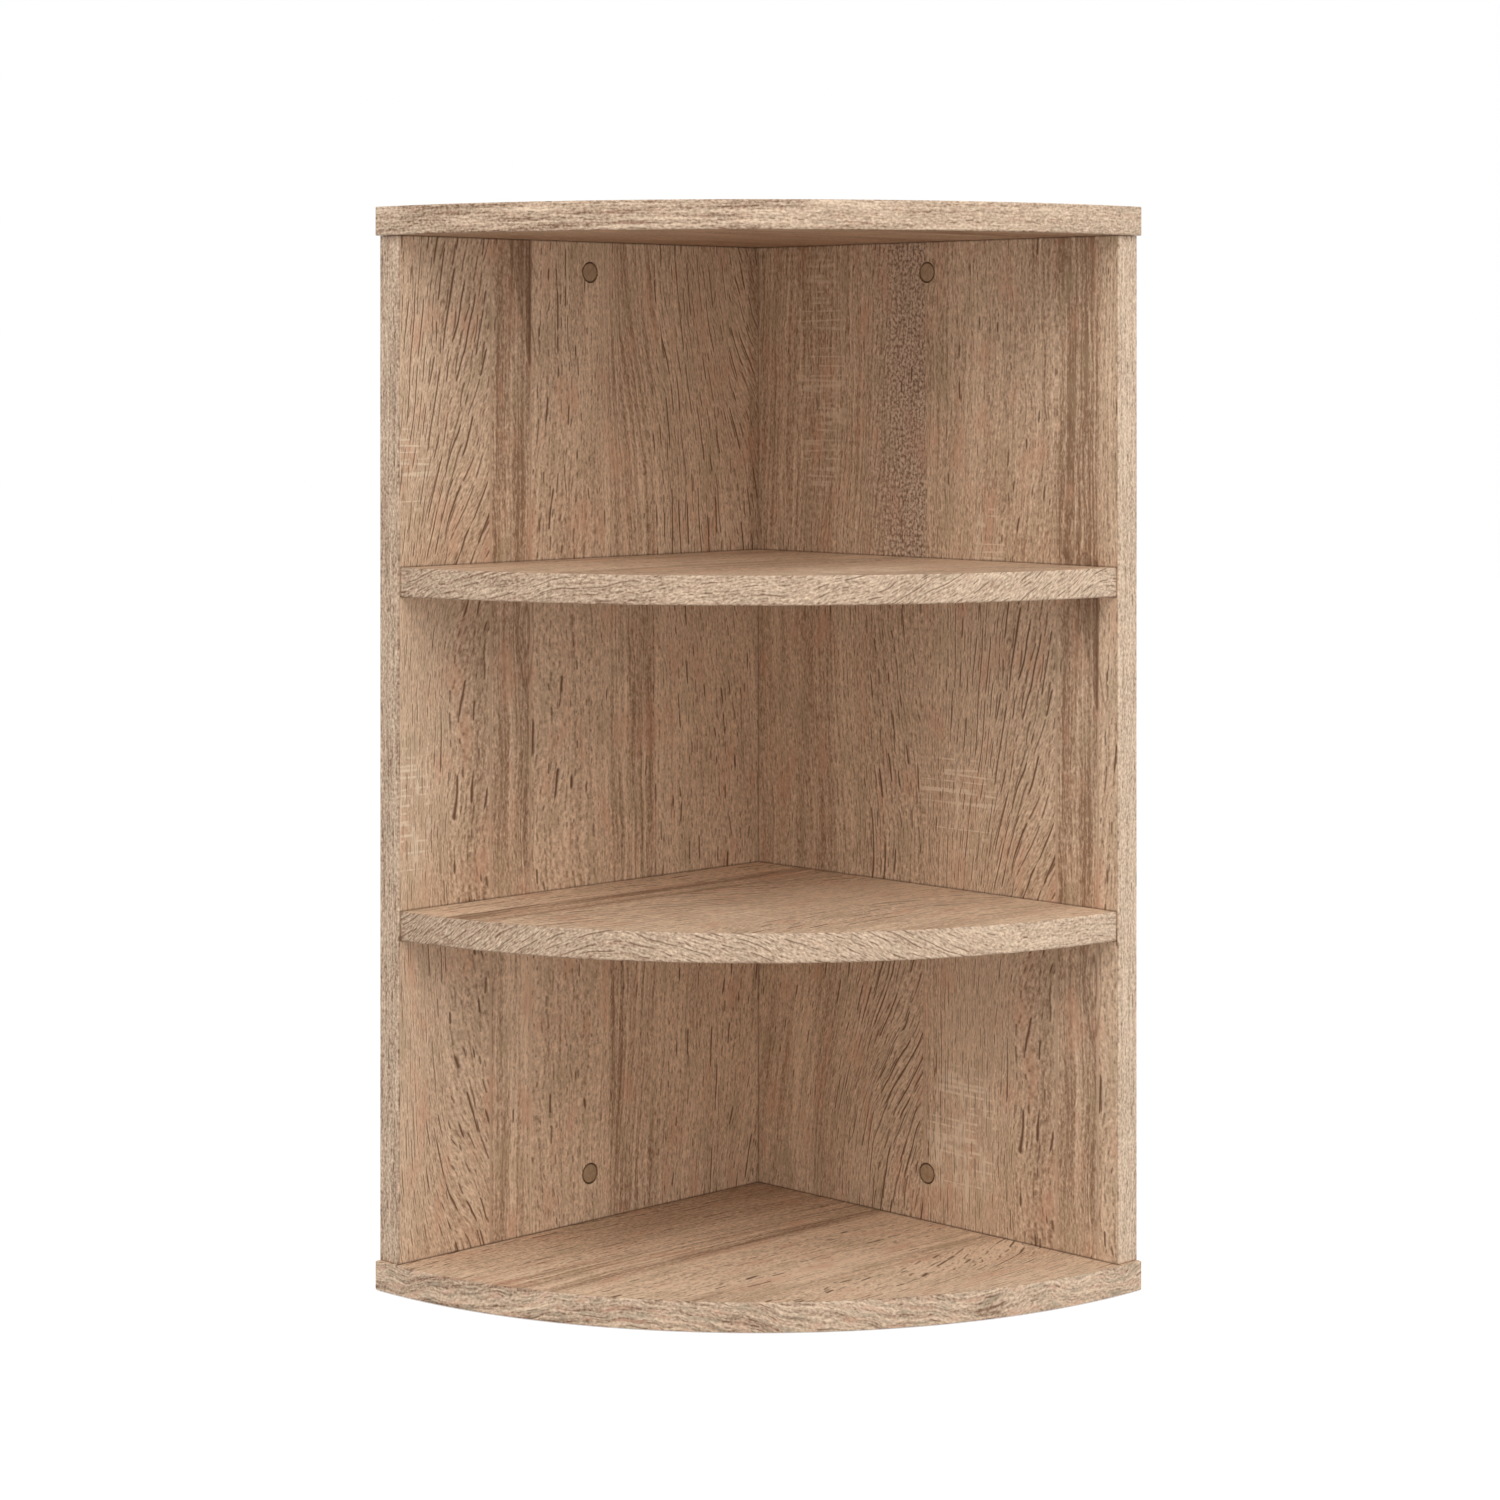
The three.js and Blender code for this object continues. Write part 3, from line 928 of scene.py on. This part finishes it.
def straight_band(node):
    """A band on a side panel's upright front edge."""
    low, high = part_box(node)
    on_left = node.startswith("left")
    if on_left:
        section = band_section(-high.y, -low.y, low.x, high.x)
    else:
        section = band_section(low.x, high.x, low.y, high.y)
    rings = []
    for height in (low.z, high.z):
        if on_left:
            rings.append([(side, -reach, height) for reach, side in section])
        else:
            rings.append([(reach, side, height) for reach, side in section])
    return mesh_piece(node.replace("edge_band", "band"), rings)


print("steps along a round band:", ARC_STEPS)

# %% [markdown]
# The bands are printed strips of oak too, lighter than the boards. On the shelves their pores slant
# across the band, because the strip shows a leaning stretch of the grain. The top board's band is
# streaked along its length, and the bottom board's band shows a wavy figure. So each band has a
# chart along its curve, and slopes that say how its grain leans from place to place.

# %% Band colours and marks
BAND_DARK = srgb(122, 89, 65)
BAND_LIGHT = srgb(240, 213, 184)
BAND_PORE = srgb(104, 74, 50)
BAND_PINK = srgb(216, 172, 146)
BAND_GREY = srgb(158, 146, 124)


def band_print(along, up, flow, amounts, tint_amount):
    """The print on a band. Flow is how far the grain has moved up at this place."""
    pore_amount, streak_amount, tone = amounts
    grain = up - flow
    fibre = grain_noise(grain, along, 1.1, 5.0, 2.9, 2.0) - 0.5
    speckle = grain_noise(grain, along, 1.3, 1.9, 5.2, 1.0) - 0.5
    streak = grain_noise(grain, along, 2.2, 60.0, 6.6, 2.0) - 0.5
    cloud = grain_noise(up, along, 9.0, 30.0, 3.8) - 0.5
    tint = grain_noise(grain, along, 3.5, 14.0, 8.3, 1.0) - 0.5
    value = tone * TONE_STEP + 0.57 + fibre * 0.95 + speckle * 1.0 + cloud * 0.35
    value = value + streak * (streak_amount * 1.2 + 0.2)
    colour = mixed(value, BAND_DARK, BAND_LIGHT)
    colour = mixed(step_between(tint, 0.03, 0.3) * tint_amount, colour, BAND_GREY)
    colour = mixed(step_between(tint, -0.03, -0.3) * tint_amount, colour, BAND_PINK)
    first, first_highlights = pore_lines(grain, along, 4.8, 10.0, 0.7, pore_amount, 8.1)
    second, second_highlights = pore_lines(grain, along, 3.1, 5.0, 0.6, pore_amount * 0.6, 2.3)
    # The pale edges beside the band's pores are painted highlight.
    colour = mixed(largest(first_highlights, second_highlights) * 0.3, colour, OAK_PALE_AND_HIGHLIGHT)
    marks = largest(first, second * 0.6)
    return mixed(marks * 0.8, colour, BAND_PORE), fibre * 0.5 - first * 0.6


def round_band_finish(node, chart, slopes, wave, tint):
    """A finish for a round band, whose chart and slopes run from its left end to its right one.
    Wave is how far its grain swings up and down, in millimetres, and tint is how much its colour
    changes from place to place."""
    finish = new_finish(node)
    place = place_in_mm(finish)
    low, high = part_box(node)
    x = place[0] - corner_x / MM
    y = corner_y / MM - place[1]
    angle = y.math("ARCTAN2", x, y)
    length = board_radius / MM * math.pi / 2
    along = angle * (board_radius / MM)
    up = place[2] - low.z / MM
    flow = flow_at(along, (slopes, slopes, slopes), 0.0, length)[0]
    waver = (grain_noise(up, along, 24.0, 26.0, 7.7, 1.0) - 0.5) * wave
    rows = [(spot, (pores, streaks, stored_tone(tone))) for spot, pores, streaks, tone in chart]
    stops = place_stops(rows)
    pores, streaks, tone, _ = looked_up(share_of(along, 0.0, length), stops)
    amounts = (pores, streaks, restored_tone(tone))
    colour, relief = band_print(along, up, flow + waver, amounts, tint)
    # Painted shadow where a shelf's band meets the side panels.
    if "shelf" in node:
        colour = mixed(largest(*near_walls(place)) * SEAM_SHADOW_STRENGTH, colour, SEAM_SHADOW_COLOUR)
    # Painted shade along the lowest 1.3 mm of every band but the bottom board's.
    if node != "bottom_board_edge_band":
        colour = mixed(step_between(up, 1.3, 0.2) * 0.35, colour, SEAM_SHADOW_COLOUR)
    return finish.surface(matte(finish, colour, relief, 0.5, 0.3))


def straight_band_finish(node, axis, tone):
    finish = new_finish(node)
    place = place_in_mm(finish)
    across = place[axis]
    waver = (grain_noise(across, place[2], 24.0, 80.0, 7.7) - 0.5) * 5.0
    colour, relief = band_print(place[2], across, waver, (0.3, 0.4, tone), 0.2)
    # Painted shadow where the panel's band meets the bottom and the top board.
    colour = mixed(near_levels(place, [bottom_level, top_level]) * SEAM_SHADOW_STRENGTH, colour, SEAM_SHADOW_COLOUR)
    return finish.surface(matte(finish, colour, relief, 0.5, 0.3))


round_bands = {
    # chart rows: place along the band, pores, streaks, tone; then slopes, the wave and the tint
    "top_board_edge_band": (
        [(0, 0.2, 1.0, -7), (140, 0.2, 1.0, -6), (229, 0.2, 0.9, -6), (231, 0.1, 0.8, -3),
         (330, 0.1, 0.5, 0), (471, 0.1, 0.3, 3)],
        [(0, 0.0), (471, 0.0)], 1.2, 0.2),
    "upper_shelf_edge_band": (
        [(0, 1.0, 0.2, -9), (150, 0.8, 0.2, -6), (300, 0.8, 0.2, -2), (471, 0.95, 0.2, 6)],
        [(0, 0.3), (100, 0.25), (150, 0.1), (250, 0.1), (330, 0.5), (430, 0.6), (471, -0.4)], 5.0, 0.15),
    "lower_shelf_edge_band": (
        [(0, 1.0, 0.1, -12), (145, 1.0, 0.2, -5), (300, 1.0, 0.2, 1), (365, 0.7, 0.3, 3),
         (380, 0.05, 0.4, 5), (471, 0.05, 0.4, 5)],
        [(0, 0.6), (90, 0.65), (140, 0.4), (165, -0.2), (200, -0.32), (285, -0.35), (310, -0.55),
         (350, -0.4), (380, 0.0), (471, 0.0)], 5.0, 0.15),
    "bottom_board_edge_band": (
        [(0, 0.4, 1.0, -4), (145, 0.4, 1.0, -4), (239, 0.4, 0.8, -2), (241, 0.5, 0.8, 0),
         (350, 0.4, 0.8, 1), (364, 0.9, 0.9, -6), (380, 0.3, 0.7, 4), (471, 0.3, 0.7, 3)],
        [(0, 0.0), (60, 0.15), (143, 0.15), (180, -0.1), (220, -0.25), (355, -0.15), (370, 0.3),
         (390, 0.3), (405, -0.3), (471, 0.2)], 8.0, 0.5),
}
for node, (chart, slopes, wave, tint) in round_bands.items():
    piece = round_band(node)
    dress(piece, node, round_band_finish(node, chart, slopes, wave, tint))
    print(piece.name, "has", len(piece.data.polygons), "faces")

straight_bands = {"left_panel_edge_band": (0, -6), "right_panel_edge_band": (1, 7)}
for node, (axis, tone) in straight_bands.items():
    piece = straight_band(node)
    dress(piece, node, straight_band_finish(node, axis, tone))
    print(piece.name, "has", len(piece.data.polygons), "faces")

# %% [markdown]
# ## Turned pieces
#
# Screws, plugs and discs are round, so each is made as rings of points that follow an outline along
# an axis. The outline gives a radius and a distance along the axis for each ring.

# %% Rings along an axis
def turned_rings(outline, sides, origin, axis):
    """A ring of points for each pair of radius and distance in the outline."""
    turn = Vector((0, 0, 1)).rotation_difference(axis).to_matrix()
    rings = []
    for radius, along in outline:
        ring = []
        for side in range(sides):
            angle = 2 * math.pi * side / sides
            reach = radius(angle, along) if callable(radius) else radius
            point = Vector((reach * math.cos(angle), reach * math.sin(angle), along))
            ring.append(origin + turn @ point)
        rings.append(ring)
    return rings


def middle_of(node):
    low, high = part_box(node)
    return (low + high) / 2


print("turned rings are ready")

# %% [markdown]
# ### Cover plugs
#
# A plug is moulded in plain brown plastic: a flat round face with a softly rounded rim, and a skirt
# behind it that grips the hole. It sits a third of a millimetre below the board's face, and its rim is
# coloured with painted shade, so a thin dark ring shows where the groove round it lies in shade.

# %% Plastic finishes
PLUG_BROWN = srgb(178, 150, 120)
PLUG_DARK = srgb(160, 130, 100)
# The groove's two colours are painted shade: the dark ring round a plug.
GROOVE_SHADE_LIGHT = srgb(118, 90, 66)
GROOVE_SHADE_DARK = srgb(100, 74, 53)
DISC_LIGHT = srgb(206, 178, 146)
DISC_DARK = srgb(176, 146, 114)


def plastic_finish(name, light, dark, grain_size, roughness):
    """Moulded or printed plastic, with a faint grain in its colour and its shine."""
    finish = new_finish(name)
    place = place_in_mm(finish)
    mottle = grain_noise(place[0] + place[1], place[2] - place[1], *grain_size, 3.3, 3.0)
    fine = grain_noise(place[0] + place[1], place[2] + place[1], 0.3, 0.3, 1.3)
    sockets = {"Strength": 0.2, "Distance": FINE_RELIEF_HEIGHT, "Height": fine}
    return finish.surface(finish.node("ShaderNodeBsdfPrincipled", None, {
        "Base Color": mixed(step_between(mottle, 0.3, 0.7), light, dark),
        "Roughness": roughness + (fine - 0.5) * 0.2,
        "Specular IOR Level": 0.4,
        "Normal": finish.node("ShaderNodeBump", None, sockets),
    }))


plug_finish = plastic_finish("plug_plastic", PLUG_BROWN, PLUG_DARK, (2.0, 3.0), 0.5)
# The groove's finish is painted shade.
groove_shade_finish = plastic_finish("painted_groove_shade", GROOVE_SHADE_LIGHT, GROOVE_SHADE_DARK, (1.0, 1.0), 0.8)
disc_finish = plastic_finish("disc_print", DISC_LIGHT, DISC_DARK, (1.2, 9.0), 0.5)
print("plastic finishes:", plug_finish.name, disc_finish.name)


# %% Plugs
PLUG_RIM = 0.9 * MM
PLUG_FACE = 1.4 * MM
PLUG_SKIRT = 1.3 * MM
PLUG_SIDES = 64
RIM_STEPS = 6
CENTRE_SHARE = 0.02
MIDWAY_SHARE = 0.5


def rounded_rim(radius, rim):
    """The outline of a face that curves into its side."""
    outline = []
    for step in range(RIM_STEPS + 1):
        angle = math.radians(90 * step / RIM_STEPS)
        outline.append((radius - rim + rim * math.sin(angle), rim - rim * math.cos(angle)))
    return outline


def plug(node, axis):
    low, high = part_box(node)
    size = high - low
    radius = size.z / 2
    depth = min(size)
    face = middle_of(node) - axis * depth / 2
    outline = [(radius * share, 0) for share in (CENTRE_SHARE, MIDWAY_SHARE)]
    outline += rounded_rim(radius, PLUG_RIM)
    outline += [(radius, depth), (radius - PLUG_SKIRT, depth), (radius - PLUG_SKIRT, PLUG_FACE)]
    outline += [(radius * CENTRE_SHARE, PLUG_FACE)]
    name = node.replace("cover_plug", "plug")
    return mesh_piece(name, turned_rings(outline, PLUG_SIDES, face, axis))


def shade_rim(piece, middle, radius):
    """Gives the faces at the plug's rim the painted shade of the groove round it."""
    piece.data.materials.append(groove_shade_finish)
    for polygon in piece.data.polygons:
        if (polygon.center - middle).length > radius:
            polygon.material_index = 1


INTO_LEFT_PANEL = Vector((-1, 0, 0))
INTO_RIGHT_PANEL = Vector((0, 1, 0))
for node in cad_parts:
    if node.startswith("cover_plug"):
        axis = INTO_LEFT_PANEL if "_left_" in node else INTO_RIGHT_PANEL
        piece = plug(node, axis)
        dress(piece, node, plug_finish)
        shade_rim(piece, middle_of(node), (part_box(node)[1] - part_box(node)[0]).z / 2 - PLUG_RIM * 0.6)
        print(piece.name, "at", [round(x, 4) for x in middle_of(node)])


# %% [markdown]
# ### Cover discs
#
# Four thin discs are stuck over the screws in the top board. They are printed in the oak's colour
# and only 0.4 mm thick.

# %% Discs
DISC_RIM = 0.25 * MM


def disc(node):
    low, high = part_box(node)
    radius = (high.x - low.x) / 2
    depth = high.z - low.z
    face = middle_of(node) + Vector((0, 0, depth / 2))
    outline = [(radius * share, 0) for share in (CENTRE_SHARE, MIDWAY_SHARE)]
    outline += rounded_rim(radius, DISC_RIM)
    outline += [(radius, depth), (radius * CENTRE_SHARE, depth)]
    name = node.replace("top_cover_disc", "disc")
    return mesh_piece(name, turned_rings(outline, PLUG_SIDES, face, Vector((0, 0, -1))))


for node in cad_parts:
    if node.startswith("top_cover_disc"):
        piece = disc(node)
        dress(piece, node, disc_finish)
        print(piece.name, "has", len(piece.data.polygons), "faces")

# %% [markdown]
# ### Screws
#
# A confirmat screw has a low head with a hexagonal socket, a smooth collar, and a coarse thread that
# cuts its own way into the chipboard. The thread is a ridge that climbs as it goes round, so the
# radius of each ring depends on the angle as well as on the distance along the screw.

# %% Zinc plating
ZINC_LIGHT = srgb(214, 216, 220)
ZINC_DARK = srgb(176, 180, 186)


def zinc_finish():
    finish = new_finish("zinc_plating")
    place = place_in_mm(finish)
    spangle = grain_noise(place[0] + place[1], place[2] - place[0], 1.6, 1.6, 3.3, 3.0)
    scratch = grain_noise(place[0] - place[1], place[2] + place[1], 0.15, 2.4, 8.2)
    sockets = {"Strength": 0.15, "Distance": FINE_RELIEF_HEIGHT, "Height": scratch}
    return finish.surface(finish.node("ShaderNodeBsdfPrincipled", None, {
        "Base Color": mixed(step_between(spangle, 0.3, 0.7), ZINC_LIGHT, ZINC_DARK),
        "Metallic": 1.0,
        "Roughness": 0.28 + scratch * 0.15,
        "Normal": finish.node("ShaderNodeBump", None, sockets),
    }))


zinc = zinc_finish()
print("screw finish:", zinc.name)

# %% Screws
HEAD_HEIGHT = 2.5 * MM
HEAD_TAPER = 1.5 * MM
HEAD_RIM = 0.3 * MM
COLLAR_LENGTH = 9 * MM
COLLAR_RADIUS = 3.5 * MM
NECK_LENGTH = 1.5 * MM
CORE_RADIUS = 2.5 * MM
THREAD_HEIGHT = 1.0 * MM
THREAD_PITCH = 3.0 * MM
TIP_LENGTH = 4 * MM
TIP_RADIUS = 1 * MM
SOCKET_RADIUS = 2.3 * MM
SOCKET_DEPTH = 2.4 * MM
SOCKET_CHAMFER = 0.2 * MM
SCREW_SIDES = 24
ROWS_PER_TURN = 8


def hexagon(corner_radius):
    """The radius of a hexagon at an angle."""
    def radius(angle, _):
        turned = (angle + math.pi / 6) % (math.pi / 3) - math.pi / 6
        return corner_radius * math.cos(math.pi / 6) / math.cos(turned)
    return radius


def threaded(start, end):
    """The radius of a thread that rises from its core and fades at both ends."""
    def radius(angle, along):
        turn = (along / THREAD_PITCH - angle / (2 * math.pi)) % 1
        ridge = max(0.0, 1 - abs(turn - 0.5) * 4)
        fade = min(1.0, (along - start) / THREAD_PITCH, (end - along) / THREAD_PITCH)
        return CORE_RADIUS + THREAD_HEIGHT * ridge * max(0.0, fade)
    return radius


def screw(node, axis):
    low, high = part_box(node)
    size = high - low
    length = max(size)
    head_radius = sorted(size)[1] / 2
    head = middle_of(node) - axis * length / 2
    collar = HEAD_HEIGHT + HEAD_TAPER
    neck = collar + COLLAR_LENGTH
    thread = neck + NECK_LENGTH
    tip = length - TIP_LENGTH
    outline = [(hexagon(SOCKET_RADIUS * CENTRE_SHARE), SOCKET_DEPTH)]
    outline += [(hexagon(SOCKET_RADIUS), depth) for depth in (SOCKET_DEPTH, SOCKET_CHAMFER)]
    outline += [(hexagon(SOCKET_RADIUS + SOCKET_CHAMFER), 0)]
    outline += rounded_rim(head_radius, HEAD_RIM)
    outline += [(head_radius, HEAD_HEIGHT), (COLLAR_RADIUS, collar), (COLLAR_RADIUS, neck)]
    outline += [(CORE_RADIUS, neck), (CORE_RADIUS, thread)]
    rows = round((tip - thread) / THREAD_PITCH * ROWS_PER_TURN)
    winding = threaded(thread, tip)
    outline += [(winding, thread + (tip - thread) * row / rows) for row in range(1, rows + 1)]
    outline += [(TIP_RADIUS, length)]
    return mesh_piece(node + "_fine", turned_rings(outline, SCREW_SIDES, head, axis))


screw_directions = {
    "top_screw": Vector((0, 0, -1)),
    "bottom_screw": Vector((0, 0, 1)),
    "lower_shelf_screw_left": Vector((1, 0, 0)),
    "upper_shelf_screw_left": Vector((1, 0, 0)),
    "lower_shelf_screw_right": Vector((0, -1, 0)),
    "upper_shelf_screw_right": Vector((0, -1, 0)),
    "corner_screw": Vector((1, 0, 0)),
}
for node in sorted(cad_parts):
    for start, axis in screw_directions.items():
        if node.startswith(start):
            piece = screw(node, axis)
            dress(piece, node, zinc)
print("faces in a screw:", len(piece.data.polygons))

# %% [markdown]
# ## Floor, background and light
#
# The photograph has a plain white background. The floor and the world look white to the camera, and
# the floor keeps the unit's soft shadow. A broad soft lamp stands in front and above, and the world
# fills in from all sides.

# %% Floor
FLOOR_SIZE = 12.0
FLOOR_GAP = 0.5 * MM
FLOOR_GREY = srgb(214, 214, 214)
FLOOR_GLOW = 0.6
WHITE = srgb(255, 255, 255)
floor_mesh = bpy.data.meshes.new("floor")
half = FLOOR_SIZE / 2
floor_mesh.from_pydata(
    [(-half, -half, 0), (half, -half, 0), (half, half, 0), (-half, half, 0)], [], [(0, 1, 2, 3)]
)
floor = bpy.data.objects.new("floor", floor_mesh)
floor.location.z = -FLOOR_GAP
bpy.context.scene.collection.objects.link(floor)


def seen_directly(finish):
    """1 for the camera's own rays and for mirrored ones, and 0 for those that only carry light."""
    camera_ray = finish.node("ShaderNodeLightPath", output="Is Camera Ray")
    glossy_ray = finish.node("ShaderNodeLightPath", output="Is Glossy Ray")
    return largest(camera_ray, glossy_ray)


floor_finish = new_finish("white_floor")
diffuse = floor_finish.node("ShaderNodeBsdfDiffuse", None, {"Color": FLOOR_GREY})
glow = floor_finish.node("ShaderNodeEmission", None, {"Color": WHITE, "Strength": FLOOR_GLOW})
lifted = floor_finish.node("ShaderNodeAddShader", None, {0: diffuse, 1: glow})
choice = {0: seen_directly(floor_finish), 1: diffuse, 2: lifted}
both = floor_finish.node("ShaderNodeMixShader", None, choice)
floor_mesh.materials.append(floor_finish.surface(both))
print("floor:", FLOOR_SIZE, "m")

# %% World and lamps
WORLD_STRENGTH = 0.82
LAMP_PLACE = (2.2, -1.8, 3.2)
LAMP_TARGET = (0, 0, 0.3)
LAMP_SIZE = 3.0
LAMP_POWER = 62
world = bpy.data.worlds.new("studio")
bpy.context.scene.world = world
backdrop = Finish(world)
fill = backdrop.node("ShaderNodeBackground", None, {"Color": WHITE, "Strength": WORLD_STRENGTH})
white = backdrop.node("ShaderNodeBackground", None, {"Color": WHITE})
choice = {0: seen_directly(backdrop), 1: fill, 2: white}
backdrop.surface(backdrop.node("ShaderNodeMixShader", None, choice), "ShaderNodeOutputWorld")


def soft_lamp(name, place, target, size, power):
    data = bpy.data.lights.new(name, "AREA")
    data.shape = "DISK"
    data.size = size
    data.energy = power
    lamp = bpy.data.objects.new(name, data)
    lamp.location = place
    lamp.rotation_euler = (Vector(target) - Vector(place)).to_track_quat("-Z", "Y").to_euler()
    bpy.context.scene.collection.objects.link(lamp)


soft_lamp("front_lamp", LAMP_PLACE, LAMP_TARGET, LAMP_SIZE, LAMP_POWER)
bpy.context.scene.view_settings.view_transform = "Standard"
print("world strength:", WORLD_STRENGTH)
